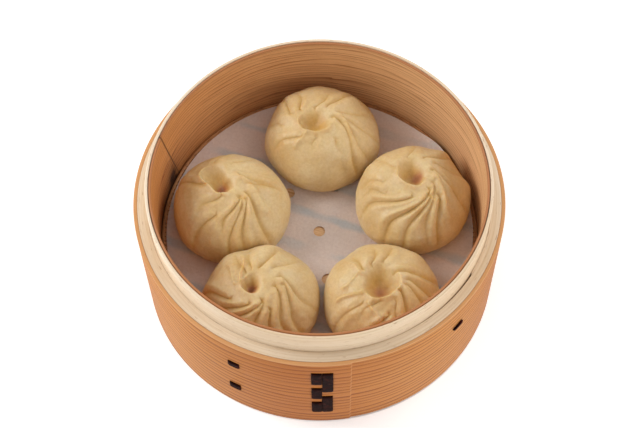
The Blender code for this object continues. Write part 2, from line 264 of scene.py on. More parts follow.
def cedar_sheet(name, spacing, wander, early, late, blotch, contrast, roughness, gloss, painted_shade, edge, node,
                marks):
    """Planed cedar: growth rings at this spacing that wander by so many rings, fine fibres, and a broad
    drift to the blotch colour.  The painted shade is (bearing where it is deepest, times round the hoop,
    tint): a tint by bearing that paints the shade of the sides turned from the light.  The cut edge on
    top has a colour of its own."""
    material, tree, shader = new_material(name)
    _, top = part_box(node)
    x, y, z, cross = place = grain_place(tree)
    wobble = streaks(tree, place, 0.014, 0.13, 2.0)
    count = add(tree, "ADD", add(tree, "DIVIDE", cross, spacing), add(tree, "MULTIPLY", wobble, wander))
    dark = add(tree, "POWER", add(tree, "FRACT", count), 5.0)
    fade = streaks(tree, place, 0.03, 0.26, 2.0)
    dark = add(tree, "MULTIPLY", dark, add(tree, "MULTIPLY", fade, 1.7 * contrast), use_clamp=True)
    colour = add(tree, "mix", dark, early, late)
    fibre = streaks(tree, place, 0.055, 2.6, 4.0, 0.7)
    shade = add(tree, "ramp", fibre, stops=[(0.30, "#D2C3B8"), (0.55, "#FFFFFF"), (0.75, "#FFF9F0")])
    colour = add(tree, "tint", 0.75, colour, shade)
    drift = streaks(tree, place, 0.009, 0.04, 3.0, 0.6)
    drifted = add(tree, "MULTIPLY", add(tree, "SUBTRACT", drift, 0.35), 1.6, use_clamp=True)
    colour = add(tree, "mix", drifted, colour, add(tree, "mix", 0.55, colour, blotch))
    # Painted shade: the colour is tinted by bearing, deepest where the wall turns from the softboxes.
    shaded_bearing, times, tint = painted_shade
    bearing = add(tree, "ARCTAN2", y, x)
    turn = add(tree, "MULTIPLY", add(tree, "SUBTRACT", bearing, radians(shaded_bearing)), times)
    deep = add(tree, "ADD", 0.5, add(tree, "MULTIPLY", add(tree, "COSINE", turn), 0.5))
    colour = add(tree, "tint", deep, colour, tint)
    above = add(tree, "SUBTRACT", z, top.z - TOP_EDGE_DEPTH)
    at_top = add(tree, "MULTIPLY", above, 1 / TOP_EDGE_SOFT, use_clamp=True)
    colour = add(tree, "mix", add(tree, "MULTIPLY", at_top, 0.95), colour, edge)
    colour = marks(tree, colour, bearing, z, fade)
    rough = add(tree, "ADD", roughness - 0.08, add(tree, "MULTIPLY", fibre, 0.16))
    height = add(tree, "SUBTRACT", add(tree, "MULTIPLY", fibre, 0.6), add(tree, "MULTIPLY", dark, 0.4))
    feed(tree, shader, {
        "Base Color": colour, "Roughness": rough, "IOR": 1.5, "Specular IOR Level": gloss,
        "Normal": add(tree, "relief", height, 0.22 * MM)})
    return material


CEDAR_END = "#DBA26C"


def outer_marks(tree, colour, bearing, height, fade):
    """The cut end of the outer sheet, a pale line from top to bottom.  Called as lining_shadow_and_stain is.
    """
    off = add(tree, "ABSOLUTE", add(tree, "SUBTRACT", bearing, OUTER_LAP))
    cut_end = add(tree, "SUBTRACT", 1.0, add(tree, "MULTIPLY", off, 280.0), use_clamp=True)
    return add(tree, "mix", add(tree, "MULTIPLY", cut_end, 0.4), colour, CEDAR_END)


# The tuples paint shade by bearing: deepest at the front of the outer sheet, and on the lining's left.
cedar = cedar_sheet("cedar_outer", 3.3 * MM, 1.6, "#D2914B", "#8C4A1E", "#C67C3C", 1.6, 0.55, 0.2,
                    (-95, 4, "#E6CDA4"), CEDAR_END, "outer_wall", outer_marks)
cedar_lining = cedar_sheet("cedar_lining", 2.0 * MM, 4.5, "#EDBF8D", "#A56A3A", "#D6A063", 1.05, 0.52, 0.3,
                           (190, 1, "#EBCBA6"), "#B4764A", "lining", lining_shadow_and_stain)
print("cedar ready:", cedar.name, cedar_lining.name)

# %% [markdown]
# Bamboo is a grass: it has no rings, only straight fibres.  A split and planed strip is pale cream with
# fine tan streaks under a millimetre wide, and short brown dashes where the sap vessels are cut.  The slats
# under the paper are the same plant, darkened to orange-brown by steam, and their fibres run straight.  The
# ring that carries them gets a darker copy of that bamboo, painted shade for the band that lies under the
# wall.

# %% Bamboo
def bamboo(name, pale, streak, dash, dash_share, roughness, straight=None):
    """Split bamboo: pale with fine streaks, and dashes over about this share of the noise's range."""
    material, tree, shader = new_material(name)
    place = grain_place(tree, straight)
    fine = streaks(tree, place, 0.022, 1.5, 4.0, 0.65)
    colour = add(tree, "ramp", fine, stops=[(0.33, streak), (0.56, pale), (0.80, pale)])
    spots = streaks(tree, place, 0.26, 2.3, 1.0)
    hit = add(tree, "MULTIPLY", add(tree, "SUBTRACT", spots, 1.0 - dash_share), 14.0, use_clamp=True)
    colour = add(tree, "mix", add(tree, "MULTIPLY", hit, 0.6), colour, dash)
    broad = streaks(tree, place, 0.01, 0.055, 2.0)
    broad = add(tree, "ramp", broad, stops=[(0.3, "#EFE3D2"), (0.6, "#FFFFFF")])
    colour = add(tree, "tint", 0.8, colour, broad)
    height = add(tree, "SUBTRACT", fine, add(tree, "MULTIPLY", hit, 0.5))
    feed(tree, shader, {"Base Color": colour, "Roughness": roughness, "IOR": 1.5,
                        "Normal": add(tree, "relief", height, 0.12 * MM)})
    return material


bamboo_pale = bamboo("bamboo_pale", "#F2DDC2", "#E6CDA9", "#B08150", 0.33, 0.42)
bamboo_ledge = bamboo("bamboo_ledge", "#EDD9BF", "#DFC6A4", "#B58A5A", 0.32, 0.55)
print("bamboo ready:", bamboo_pale.name, bamboo_ledge.name)

# %% [markdown]
# ## The hoops
# Each hoop is a strip bent round a former and lapped over its own end.  A Screw of a section would make a
# perfect ring, but the lap would be missing.  Here one Geometry Nodes tree sweeps a rounded section round
# a circle, then draws one face in by the lap's thickness just past the lap and lets it come back slowly,
# which is what a tapered end does.  "Lap Inside" moves that step to the inner face, "Lap Way" says to which
# side the taper runs, and "Twist" leans the seam.  The same tree makes all four hoops.

# %% Geometry Nodes helpers
def new_tree(name, sizes):
    """A Geometry Nodes tree with named float inputs; returns the tree and its input sockets."""
    tree = bpy.data.node_groups.new(name, "GeometryNodeTree")
    tree.interface.new_socket("Geometry", in_out="OUTPUT", socket_type="NodeSocketGeometry")
    for label, value in sizes.items():
        socket = tree.interface.new_socket(label, in_out="INPUT", socket_type="NodeSocketFloat")
        socket.default_value = value
    given = add(tree, "NodeGroupInput", out=None)
    return tree, {label: given[label] for label in sizes}


def finish_tree(tree, geometry, material):
    """Every tree ends the same way: realize the instances and set the material."""
    solid = add(tree, "GeometryNodeRealizeInstances", {"Geometry": geometry})
    shown = add(tree, "GeometryNodeSetMaterial", {"Geometry": solid, "Material": material})
    add(tree, "NodeGroupOutput", shown, out=None)


def grow(name, tree, **sizes):
    """Run a tree with these sizes and keep the result as a plain mesh object."""
    seed = bpy.data.objects.new(name + "_seed", bpy.data.meshes.new(name + "_seed"))
    bpy.context.scene.collection.objects.link(seed)
    modifier = seed.modifiers.new("grow", "NODES")
    modifier.node_group = tree
    identifiers = {item.name: item.identifier for item in tree.interface.items_tree if item.in_out == "INPUT"}
    for label, value in sizes.items():
        modifier[identifiers[label.replace("_", " ")]] = float(value)
    bpy.context.view_layer.update()
    grown = seed.evaluated_get(bpy.context.evaluated_depsgraph_get())
    mesh = bpy.data.meshes.new_from_object(grown)
    mesh.name = name
    piece = bpy.data.objects.new(name, mesh)
    bpy.context.scene.collection.objects.link(piece)
    bpy.data.objects.remove(seed)
    return piece


def settle(piece, slot, *nodes):
    """A finished piece rides on the basket and stands for its solids."""
    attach(piece, BODY)
    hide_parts(*nodes)
    print(f"{piece.name}: {len(piece.data.vertices)} vertices, {len(piece.data.polygons)} faces")


# %% [markdown]
# The tree starts from the circle and a section with soft corners.  Each point of the swept ring then knows
# its bearing, and how far it is past the lap decides how much its face is drawn in.

# %% The bent hoop's tree
HOOP_STEPS = 512


def hoop_tree(material):
    tree, size = new_tree("bent_hoop_" + material.name, {
        "Outer": 0.075, "Thick": 0.0015, "Low": 0.0, "High": 0.05, "Soft": 0.0003, "Lap Bearing": 0.0,
        "Lap Step": 0.0, "Lap Fade": 1.0, "Lap Inside": 0.0, "Lap Way": 1.0, "Twist": 0.0})
    middle = add(tree, "SUBTRACT", size["Outer"], add(tree, "MULTIPLY", size["Thick"], 0.5))
    tall = add(tree, "SUBTRACT", size["High"], size["Low"])
    path = add(tree, "GeometryNodeCurvePrimitiveCircle", {"Resolution": HOOP_STEPS, "Radius": middle})
    section = add(tree, "GeometryNodeCurvePrimitiveQuadrilateral", {"Width": size["Thick"], "Height": tall})
    section = add(tree, "GeometryNodeFilletCurve", {"Curve": section, "Radius": size["Soft"], "Count": 3,
                                                    "Limit Radius": True}, mode="POLY")
    swept = add(tree, "GeometryNodeCurveToMesh", {"Curve": path, "Profile Curve": section})
    place = add(tree, "GeometryNodeInputPosition")
    x, y, z = add(tree, "split", place)
    bearing = add(tree, "ARCTAN2", y, x)
    from_lap = add(tree, "MULTIPLY", add(tree, "SUBTRACT", bearing, size["Lap Bearing"]), size["Lap Way"])
    past = add(tree, "FLOORED_MODULO", from_lap, 2 * pi)
    eased = add(tree, "SUBTRACT", 1.0, add(tree, "DIVIDE", past, size["Lap Fade"]), use_clamp=True)
    out = add(tree, "SQRT", add(tree, "ADD", add(tree, "MULTIPLY", x, x), add(tree, "MULTIPLY", y, y)))
    face = add(tree, "SUBTRACT", add(tree, "GREATER_THAN", out, middle), size["Lap Inside"])
    draw = add(tree, "MULTIPLY", add(tree, "MULTIPLY", eased, size["Lap Step"]), face)
    radius = add(tree, "SUBTRACT", out, draw)
    turned = add(tree, "MULTIPLY", add(tree, "DIVIDE", z, tall), size["Twist"])
    angle = add(tree, "ADD", bearing, turned)
    lift = add(tree, "MULTIPLY", add(tree, "ADD", size["High"], size["Low"]), 0.5)
    moved = add(tree, "vector", {
        0: add(tree, "MULTIPLY", radius, add(tree, "COSINE", angle)),
        1: add(tree, "MULTIPLY", radius, add(tree, "SINE", angle)), 2: add(tree, "ADD", z, lift)})
    lapped = add(tree, "GeometryNodeSetPosition", {"Geometry": swept, "Position": moved})
    smooth = add(tree, "GeometryNodeSetShadeSmooth", {"Geometry": lapped, "Shade Smooth": True})
    finish_tree(tree, smooth, material)
    return tree


LEDGE_HOOP = 3.7 * MM
COLLAR_HOOP = 1.2 * MM
LINING = 1.0 * MM
OUTER_SHEET = 1.5 * MM


def hoop(name, node, material, slot, thick, closer=0.0, soft=0.35 * MM, **lap):
    """A hoop of the size of its solid, or closer by this much to the hoops on both sides of it."""
    low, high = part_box(node)
    piece = grow(name, hoop_tree(material), Outer=high.x + closer, Thick=thick + 2 * closer, Low=low.z,
                 High=high.z,
                 Soft=soft, **lap)
    settle(piece, slot, node)


hoop("outer_wall_sheet", "outer_wall", cedar, "cedar", OUTER_SHEET, soft=0.15 * MM,
     Lap_Bearing=OUTER_LAP, Lap_Step=0.45 * MM, Lap_Fade=1.1)
hoop("ledge_hoop_strip", "ledge_hoop", bamboo_ledge, "bamboo", LEDGE_HOOP, closer=0.22 * MM, soft=0.12 * MM,
     Lap_Bearing=radians(-32), Lap_Step=0.6 * MM, Lap_Fade=0.48, Lap_Inside=1, Lap_Way=-1)
hoop("collar_hoop_strip", "collar_hoop", bamboo_pale, "bamboo", COLLAR_HOOP)
hoop("lining_sheet", "lining", cedar_lining, "cedar", LINING,
     Lap_Bearing=radians(159), Lap_Step=0.35 * MM, Lap_Fade=0.9, Lap_Inside=1, Lap_Way=-1, Twist=radians(7))

# %% [markdown]
# ## The floor ring
# The ring under the floor's edge is a strip too thick to bend, so its inner side is sawn nearly through
# every two millimetres and the strip closes round.  From above the saw cuts show as fine radial lines.
# A Boolean with two hundred blades would be slow, so the ring is built as it ends up: one thin unbroken
# back, a wedge between each two cuts, set round by instances, and the step that the slats lie on.

# %% Kerfed ring
RING_WIDTH = 6.0 * MM
RING_SHELF = 3.4 * MM
RING_BACK = 1.1 * MM
KERF_PITCH = 2.05 * MM
KERF_WIDTH = 0.34 * MM
SLAT_THICK = 3.4 * MM
FIT = 0.3 * MM


def band(tree, outer, thick, low, high):
    """A plain ring between two heights: a circle with a rectangle swept round it."""
    middle = add(tree, "SUBTRACT", outer, add(tree, "MULTIPLY", thick, 0.5))
    path = add(tree, "GeometryNodeCurvePrimitiveCircle", {"Resolution": 256, "Radius": middle})
    section = add(tree, "GeometryNodeCurvePrimitiveQuadrilateral",
                  {"Width": thick, "Height": add(tree, "SUBTRACT", high, low)})
    ring = add(tree, "GeometryNodeCurveToMesh", {"Curve": path, "Profile Curve": section})
    lift = add(tree, "MULTIPLY", add(tree, "ADD", high, low), 0.5)
    return add(tree, "GeometryNodeTransform", {
        "Geometry": ring, "Translation": add(tree, "vector", {2: lift})})


def kerfed_ring_tree(material):
    tree, size = new_tree("kerfed_ring", {
        "Outer": 0.0664, "Width": 0.006, "Back": 0.001, "Top": 0.028, "Low": 0.020, "Shelf": 0.0034,
        "Shelf Top": 0.0247, "Cuts": 200.0, "Kerf": 0.0003})
    back = band(tree, size["Outer"], size["Back"], size["Low"], size["Top"])
    inner = add(tree, "SUBTRACT", size["Outer"], size["Width"])
    shelf = band(tree, inner, size["Shelf"], size["Low"], size["Shelf Top"])
    deep = add(tree, "SUBTRACT", size["Width"], size["Back"])
    block_at = add(tree, "ADD", inner, add(tree, "MULTIPLY", deep, 0.5))
    pitch = add(tree, "DIVIDE", add(tree, "MULTIPLY", block_at, 2 * pi), size["Cuts"])
    dims = add(tree, "vector", {
        0: deep, 1: add(tree, "SUBTRACT", pitch, size["Kerf"]),
        2: add(tree, "SUBTRACT", size["Top"], size["Low"])})
    block = add(tree, "GeometryNodeMeshCube", {"Size": dims})
    places = add(tree, "GeometryNodeCurvePrimitiveCircle", {"Resolution": size["Cuts"], "Radius": block_at})
    points = add(tree, "GeometryNodeCurveToPoints", {"Curve": places}, mode="EVALUATED")
    here = add(tree, "GeometryNodeInputPosition")
    x, y, _ = add(tree, "split", here)
    facing = add(tree, "vector", {2: add(tree, "ARCTAN2", y, x)})
    wedges = add(tree, "GeometryNodeInstanceOnPoints",
                 {"Points": points, "Instance": block, "Rotation": facing})
    lift = add(tree, "MULTIPLY", add(tree, "ADD", size["Top"], size["Low"]), 0.5)
    wedges = add(tree, "GeometryNodeTransform", {
        "Geometry": wedges, "Translation": add(tree, "vector", {2: lift})})
    finish_tree(tree, add(tree, "GeometryNodeJoinGeometry", {0: [back, shelf, wedges]}), material)
    return tree


# A darker copy of the slats' bamboo: painted shade for the ring, whose band lies in the wall's shadow.
bamboo_shaded = bamboo("bamboo_shaded", "#CC925C", "#A36A3C", "#4E2A14", 0.38, 0.55)
low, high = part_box("floor_ring")
cuts = round(2 * pi * (high.x - RING_WIDTH / 2) / KERF_PITCH)
ring = grow("kerfed_floor_ring", kerfed_ring_tree(bamboo_shaded), Outer=high.x, Width=RING_WIDTH,
            Back=RING_BACK,
            Top=high.z, Low=low.z, Shelf=RING_SHELF, Shelf_Top=high.z - SLAT_THICK - FIT, Cuts=cuts,
            Kerf=KERF_WIDTH)
settle(ring, "slat_wood", "floor_ring")
print("saw cuts:", cuts)

# %% [markdown]
# ## The slats
# Eight strips of split bamboo lie across the step, a finger's width of air between them, with their ends
# cut to the circle.  An Array of boxes would stick out past the ring.  So the tree lines up eight long
# boxes, turns them, and keeps only what lies inside a cylinder: one Mesh Boolean cuts all the ends.

# %% Floor slats
SLAT_WIDTH = 11.8 * MM
SLAT_PITCH = 16.2 * MM
SLAT_FIRST = -51.75 * MM
SLAT_COUNT = 8
SLAT_TURN = radians(-20.5)


def slat_tree(material):
    tree, size = new_tree("floor_slats", {
        "Reach": 0.06, "Width": 0.012, "Pitch": 0.016, "First": -0.05, "Turn": 0.0, "Thick": 0.0034,
        "Middle": 0.027})
    long = add(tree, "MULTIPLY", size["Reach"], 2.2)
    slat = add(tree, "GeometryNodeMeshCube", {
        "Size": add(tree, "vector", {0: long, 1: size["Width"], 2: size["Thick"]})})
    line = add(tree, "GeometryNodeMeshLine", {
        "Count": SLAT_COUNT, "Start Location": add(tree, "vector", {1: size["First"]}),
        "Offset": add(tree, "vector", {1: size["Pitch"]})})
    laid = add(tree, "GeometryNodeInstanceOnPoints", {"Points": line, "Instance": slat})
    laid = add(tree, "GeometryNodeRealizeInstances", {"Geometry": laid})
    laid = add(tree, "GeometryNodeTransform", {
        "Geometry": laid, "Rotation": add(tree, "vector", {2: size["Turn"]})})
    disc = add(tree, "GeometryNodeMeshCylinder", {
        "Vertices": 128, "Radius": size["Reach"], "Depth": add(tree, "MULTIPLY", size["Thick"], 2.0)})
    cut = add(tree, "GeometryNodeMeshBoolean", {"Mesh 2": [laid, disc]}, operation="INTERSECT")
    placed = add(tree, "GeometryNodeTransform", {
        "Geometry": cut, "Translation": add(tree, "vector", {2: size["Middle"]})})
    finish_tree(tree, placed, material)
    return tree


bamboo_steamed = bamboo("bamboo_steamed", "#FAD0A0", "#DDA76E", "#7A4826", 0.33, 0.5, SLAT_TURN)
low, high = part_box("slat_4")
slats = grow("floor_slats", slat_tree(bamboo_steamed), Reach=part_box("floor_ring")[1].x - RING_WIDTH - FIT,
             Width=SLAT_WIDTH, Pitch=SLAT_PITCH, First=SLAT_FIRST, Turn=SLAT_TURN, Thick=high.z - low.z,
             Middle=(high.z + low.z) / 2)
settle(slats, "slat_wood", *[f"slat_{i + 1}" for i in range(SLAT_COUNT)])

# %% [markdown]
# ## The paper
# Parchment for steaming is a crinkled, greyish sheet punched with round holes.  It is damp, so it clings
# to the slats; its colour is painted warm over them and grey over the gaps, painted shade for what shows
# through the thin sheet.  A disc with cut holes would be flat: the tree cuts a fine grid to the circle, so
# there are points left to lift into slight waves and a curled edge.

# %% Paper
PAPER_THICK = 0.3 * MM
PAPER_HOLE = 2.45 * MM
PAPER_HOLE_RING = 22.8 * MM
PAPER_HOLE_CENTRE = (-0.2 * MM, -2.0 * MM)
PAPER_HOLES = 7
PAPER_HOLE_TURN = radians(72.5)
CURL_BEARING = radians(35)
CURL_WIDTH = 0.16


def paper_tree(material):
    tree, size = new_tree("punched_paper", {
        "Radius": 0.064, "Thick": 0.0003, "Low": 0.0287, "Hole": 0.00245, "Hole Ring": 0.0228, "Holes": 7.0,
        "Hole Turn": 1.26, "Centre X": 0.0, "Centre Y": 0.0, "Wave": 0.00025, "Curl": 0.0})
    wide = add(tree, "MULTIPLY", size["Radius"], 2.04)
    slab = add(tree, "GeometryNodeMeshCube", {
        "Size": add(tree, "vector", {0: wide, 1: wide, 2: size["Thick"]}),
        "Vertices X": 72, "Vertices Y": 72, "Vertices Z": 2})
    disc = add(tree, "GeometryNodeMeshCylinder", {"Vertices": 192, "Radius": size["Radius"], "Depth": 0.004})
    round_sheet = add(tree, "GeometryNodeMeshBoolean", {"Mesh 2": [slab, disc]}, operation="INTERSECT")
    punch = add(tree, "GeometryNodeMeshCylinder", {"Vertices": 36, "Radius": size["Hole"], "Depth": 0.004})
    circle = add(tree, "GeometryNodeCurvePrimitiveCircle",
                 {"Resolution": size["Holes"], "Radius": size["Hole Ring"]})
    points = add(tree, "GeometryNodeCurveToPoints", {"Curve": circle}, mode="EVALUATED")
    around = add(tree, "GeometryNodeInstanceOnPoints", {"Points": points, "Instance": punch})
    around = add(tree, "GeometryNodeTransform", {
        "Geometry": around, "Rotation": add(tree, "vector", {2: size["Hole Turn"]})})
    joined = add(tree, "GeometryNodeJoinGeometry", {0: [around, punch]})
    punches = add(tree, "GeometryNodeTransform", {
        "Geometry": add(tree, "GeometryNodeRealizeInstances", {"Geometry": joined}),
        "Translation": add(tree, "vector", {0: size["Centre X"], 1: size["Centre Y"]})})
    punched = add(tree, "GeometryNodeMeshBoolean", {"Mesh 1": round_sheet, "Mesh 2": punches},
                  operation="DIFFERENCE")
    here = add(tree, "GeometryNodeInputPosition")
    x, y, _ = add(tree, "split", here)
    out = add(tree, "SQRT", add(tree, "ADD", add(tree, "MULTIPLY", x, x), add(tree, "MULTIPLY", y, y)))
    waves = add(tree, "noise", {"Vector": here, "Scale": 45.0, "Detail": 2.0})
    lift = add(tree, "MULTIPLY", waves, size["Wave"])
    curled = bell(tree, add(tree, "ARCTAN2", y, x), CURL_BEARING, CURL_WIDTH)
    edge = add(tree, "POWER", add(tree, "DIVIDE", out, size["Radius"]), 26.0)
    curl = add(tree, "MULTIPLY", add(tree, "MULTIPLY", curled, edge), size["Curl"])
    moved = add(tree, "GeometryNodeSetPosition", {
        "Geometry": punched,
        "Offset": add(tree, "vector", {2: add(tree, "ADD", lift, curl)})})
    middle = add(tree, "ADD", size["Low"], add(tree, "MULTIPLY", size["Thick"], 0.5))
    placed = add(tree, "GeometryNodeTransform", {
        "Geometry": moved, "Translation": add(tree, "vector", {2: middle})})
    finish_tree(tree, placed, material)
    return tree


# %% [markdown]
# The painted colour follows the slats below: their pitch and turn say where a gap is, and the grey painted
# shade goes there; noise frays the border, because damp paper does not cling evenly.

# %% Parchment
def parchment():
    """Crinkled steaming paper, painted warm where a slat lies under it and grey, as painted shade, over a
    gap.
    """
    material, tree, shader = new_material("parchment_damp")
    place = add(tree, "place")
    turned = add(tree, "ShaderNodeMapping", {"Vector": place, "Rotation": (0, 0, -SLAT_TURN)})
    _, over, _ = add(tree, "split", turned)
    steps = add(tree, "DIVIDE", add(tree, "SUBTRACT", over, SLAT_FIRST), SLAT_PITCH)
    aside = add(tree, "ABSOLUTE", add(tree, "SUBTRACT", steps, add(tree, "ROUND", steps)))
    cling = add(tree, "noise", {"Vector": place, "Scale": 60.0, "Detail": 3.0, "Roughness": 0.6})
    edge = add(tree, "ADD", aside, add(tree, "MULTIPLY", add(tree, "SUBTRACT", cling, 0.5), 0.32))
    gap = add(tree, "MULTIPLY", add(tree, "SUBTRACT", edge, 0.33), 9.0, use_clamp=True)
    lifted = add(tree, "noise", {"Vector": place, "Scale": 38.0, "Detail": 2.0})
    gap = add(tree, "MULTIPLY", gap,
              add(tree, "MULTIPLY", add(tree, "SUBTRACT", lifted, 0.34), 5.0, use_clamp=True))
    # Painted show-through: grey shade over the gaps, warm over the slats.
    colour = add(tree, "mix", gap, "#E0CEC3", "#C3C2C1")
    crinkle = add(tree, "ShaderNodeTexVoronoi", {"Vector": place, "Scale": 620.0, "Randomness": 1.0})
    fibres = add(tree, "noise", {"Vector": place, "Scale": 900.0, "Detail": 5.0, "Roughness": 0.75})
    colour = add(tree, "tint", 0.35, colour,
                 add(tree, "ramp", fibres, stops=[(0.3, "#D8CBC6"), (0.62, "#FFFFFF")]))
    height = add(tree, "ADD", fibres, add(tree, "MULTIPLY", crinkle, 0.7))
    feed(tree, shader, {
        "Base Color": colour, "Roughness": 0.72, "IOR": 1.45, "Subsurface Weight": 0.25,
        "Subsurface Radius": (1.0, 0.7, 0.5), "Subsurface Scale": 0.4 * MM,
        "Normal": add(tree, "relief", height, 0.18 * MM)})
    return material


low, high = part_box("paper_liner")
paper = grow("punched_paper", paper_tree(parchment()), Radius=high.x, Thick=PAPER_THICK, Low=low.z,
             Hole=PAPER_HOLE,
             Hole_Ring=PAPER_HOLE_RING, Holes=PAPER_HOLES, Hole_Turn=PAPER_HOLE_TURN,
             Centre_X=PAPER_HOLE_CENTRE[0], Centre_Y=PAPER_HOLE_CENTRE[1], Wave=0.25 * MM, Curl=3.2 * MM)
settle(paper, "paper", "paper_liner")

# %% [markdown]
# ## The bark stitches
# The hoops are sewn together with strips of cherry bark: near black, nearly matt, and finely ribbed
# across.  Each strip hugs the wall and dives into a slit at both ends.  One tree wraps a small slab round
# the wall's circle and thins it towards its ends; its inputs are the places and sizes.

# %% Stitches
STITCH_THICK = 0.8 * MM
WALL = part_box("outer_wall")[1].x
# The ragged edge and the thin rim take a little off the width, so a strip starts this much wider.
STITCH_SPREAD = 1.12
# Bearing in degrees, height, width and length in millimetres, and lean in degrees.
STITCHES = {
    "stitch_left_upper": (-117.1, 40.2, 4.4, 3.7, 0),
    "stitch_left_lower": (-117.6, 18.2, 4.4, 4.3, 0),
    "stitch_tall_left": (-91.5, 43.8, 3.8, 10.5, 0),
    "stitch_tall_right": (-88.2, 40.0, 3.9, 18.0, 0),
    "stitch_middle": (-91.5, 29.4, 3.8, 10.3, 0),
    "stitch_low_left": (-91.5, 15.4, 3.8, 9.9, 0),
    "stitch_low_right": (-88.3, 18.4, 3.9, 15.8, 0),
    "stitch_torn": (-44.2, 42.5, 1.4, 5.4, -76),
}


def cherry_bark():
    material, tree, shader = new_material("cherry_bark")
    place = add(tree, "place")
    ribs_at = add(tree, "ShaderNodeMapping", {"Vector": place, "Scale": (500, 500, 2600)})
    ribs = add(tree, "noise", {"Vector": ribs_at, "Scale": 1.0, "Detail": 3.0})
    patch = add(tree, "noise", {"Vector": place, "Scale": 330.0, "Detail": 2.0})
    colour = add(tree, "ramp", patch, stops=[(0.35, "#170403"), (0.55, "#250A06"), (0.75, "#45180F")])
    feed(tree, shader, {
        "Base Color": colour, "Roughness": 0.65, "Specular IOR Level": 0.04,
        "Normal": add(tree, "relief", ribs, 0.2 * MM)})
    return material


def stitch_tree(material):
    tree, size = new_tree("bark_stitch", {
        "Wall": 0.075, "Bearing": 0.0, "Height": 0.03, "Width": 0.004, "Tall": 0.01, "Lean": 0.0,
        "Thick": 0.0008})
    slab = add(tree, "GeometryNodeMeshCube", {
        "Size": (1.0, 1.0, 1.0), "Vertices X": 9, "Vertices Y": 3, "Vertices Z": 17})
    here = add(tree, "GeometryNodeInputPosition")
    across, deep, up = add(tree, "split", here)
    ragged = add(tree, "noise", {
        "Vector": add(tree, "vector", {0: size["Height"], 1: size["Bearing"], 2: up}), "Scale": 9.0})
    wide = add(tree, "MULTIPLY", size["Width"], add(tree, "ADD", 0.9, add(tree, "MULTIPLY", ragged, 0.16)))
    side = add(tree, "MULTIPLY", across, wide)
    rise = add(tree, "MULTIPLY", up, size["Tall"])
    lean_cos = add(tree, "COSINE", size["Lean"])
    lean_sin = add(tree, "SINE", size["Lean"])
    turned = add(tree, "SUBTRACT", add(tree, "MULTIPLY", side, lean_cos),
                 add(tree, "MULTIPLY", rise, lean_sin))
    risen = add(tree, "ADD", add(tree, "MULTIPLY", side, lean_sin), add(tree, "MULTIPLY", rise, lean_cos))
    end = add(tree, "POWER", add(tree, "ABSOLUTE", add(tree, "MULTIPLY", up, 2.0)), 8.0)
    rim = add(tree, "POWER", add(tree, "ABSOLUTE", add(tree, "MULTIPLY", across, 2.0)), 6.0)
    full = add(tree, "SUBTRACT", 1.0, add(tree, "ADD", add(tree, "MULTIPLY", end, 0.45),
                                              add(tree, "MULTIPLY", rim, 0.35)))
    skin = add(tree, "MULTIPLY", add(tree, "MULTIPLY", add(tree, "ADD", deep, 0.5), full), size["Thick"])
    radius = add(tree, "ADD", size["Wall"], skin)
    angle = add(tree, "ADD", size["Bearing"], add(tree, "DIVIDE", turned, size["Wall"]))
    wrapped = add(tree, "vector", {
        0: add(tree, "MULTIPLY", radius, add(tree, "COSINE", angle)),
        1: add(tree, "MULTIPLY", radius, add(tree, "SINE", angle)),
        2: add(tree, "ADD", size["Height"], risen)})
    bent = add(tree, "GeometryNodeSetPosition", {"Geometry": slab, "Position": wrapped})
    smooth = add(tree, "GeometryNodeSetShadeSmooth", {"Geometry": bent, "Shade Smooth": True})
    finish_tree(tree, smooth, material)
    return tree


one_stitch = stitch_tree(cherry_bark())
for node, (bearing, height, width, tall, lean) in STITCHES.items():
    strip = grow("bark_" + node, one_stitch, Wall=WALL, Bearing=radians(bearing), Height=height * MM,
                 Width=width * MM * STITCH_SPREAD, Tall=tall * MM, Lean=radians(lean), Thick=STITCH_THICK)
    settle(strip, "bark", node)

# %% [markdown]
# ## The dumplings
# A xiaolongbao is a thin disc of wheat dough gathered round its filling: the cook turns it and pinches a
# pleat at each turn, so the pleats swirl into a small open mouth.  It steams soft, sags to a squat ball and
# leans on its neighbours.  Sculpting would do, and so would cloth, but neither would give these five, each
# with its own mouth.  So every dumpling is a fine grid of rows from mouth to foot, pushed in and out by
# functions: a sharp valley and a puff on both sides for each pleat, round ridges, lumps, and a mouth with a
# lip.  numpy does the sums for all the points of a dumpling at once.

# %% The gathered ball
DOUGH_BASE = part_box("paper_liner")[1].z / MM + 0.3
DOUGH_TOP = 55.0
DOUGH_WAIST = 36.5
WAIST_ROW = 0.72
FOOT_DRAW = 0.15
# The rows under the foot shrink to this share of its width.
FOOT_CENTRE = 0.15
CONTACT_SOFTNESS = 0.7
WALL_REACH = (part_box("lining")[1].x - LINING) / MM - 0.6


def meridian(t, radius):
    """Distance from the axis and height along a dumpling's side; t runs from the mouth to the foot."""
    swing = pi / 2 * np.minimum(t / WAIST_ROW, 1.0) ** 1.25
    fall = np.clip((t - WAIST_ROW) / (1 - WAIST_ROW), 0.0, 1.0)
    reach = radius * (np.sin(swing) - FOOT_DRAW * fall ** 2.2)
    height = DOUGH_WAIST + (DOUGH_TOP - DOUGH_WAIST) * np.cos(swing) - (DOUGH_WAIST - DOUGH_BASE) * fall
    return reach, height


def angle_between(a, b):
    return (a - b + pi) % (2 * pi) - pi


def beside(reach, bearing, start, end, near, far):
    """Signed distance beside a swirling line and distance past its ends, in mm, and how far along it is."""
    run = (reach - near) / (far - near)
    held = np.clip(run, 0.0, 1.0)
    middle = radians(end) + radians(start - end) * (1 - held) ** 2
    past = np.maximum(np.maximum(-run, run - 1), 0.0) * (far - near)
    return angle_between(bearing, middle) * reach, past, held


# %% [markdown]
# A pinched pleat is steep on the side it was folded from and soft on the other, and the dough puffs up
# beside it.  Many pleats meet near the mouth, where real dough can only get so deep, so the valleys are
# limited there.

# %% Pleats, ridges and lumps
FOLD_DEPTH = 0.68
MOST_VALLEY = 1.15
FOLD_SHARP = 0.45
FOLD_SOFT = 1.25
PUFF = 0.42
WAVES = 9
WAVES_SCALE = 4.0


